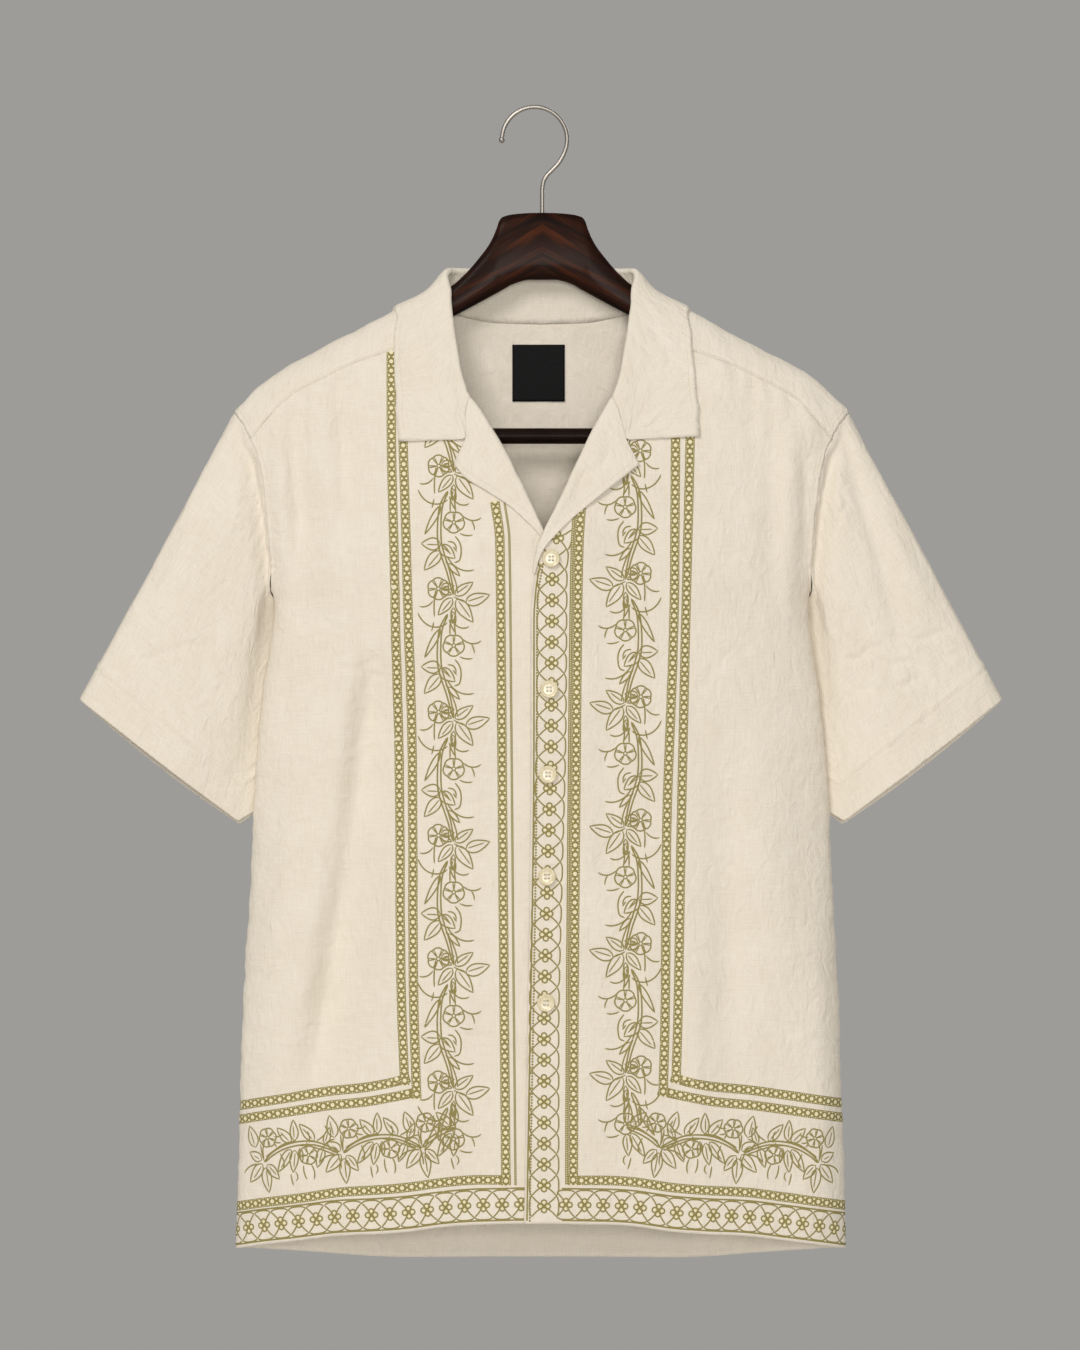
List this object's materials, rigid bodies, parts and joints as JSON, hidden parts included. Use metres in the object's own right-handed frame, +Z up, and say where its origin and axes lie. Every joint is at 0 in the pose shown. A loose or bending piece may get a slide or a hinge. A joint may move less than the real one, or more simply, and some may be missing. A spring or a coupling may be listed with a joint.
{
  "type": "camp shirt on hanger",
  "caption": "Short-sleeved camp shirt with an open notched collar, buttoned front and patterned borders, hanging on a wooden hanger with a trouser bar.",
  "frame": {"origin": "inner top of the hook, where it bears on a rail or peg", "axes": "+Z up, the shirt's front faces -Y, the wearer's left is +X"},
  "size_m": [0.7008, 0.0867, 0.8796],
  "materials": {
    "linen": "plain woven cream linen",
    "button_resin": "polished cream resin",
    "label_weave": "black woven tape",
    "walnut": "satin varnish",
    "hook_steel": "bright wire"
  },
  "bodies": {
    "root": {"yoke": "linen", "back": "linen", "front_left": "linen", "front_right": "linen", "sleeve_left": "linen", "sleeve_right": "linen", "collar": "linen", "lapel_left": "linen", "lapel_right": "linen", "button_1": "button_resin", "button_2": "button_resin", "button_3": "button_resin", "button_4": "button_resin", "button_5": "button_resin", "label": "label_weave", "hanger_body": "walnut", "hanger_bar": "walnut", "hanger_hook": "hook_steel"}
  },
  "joints": []
}
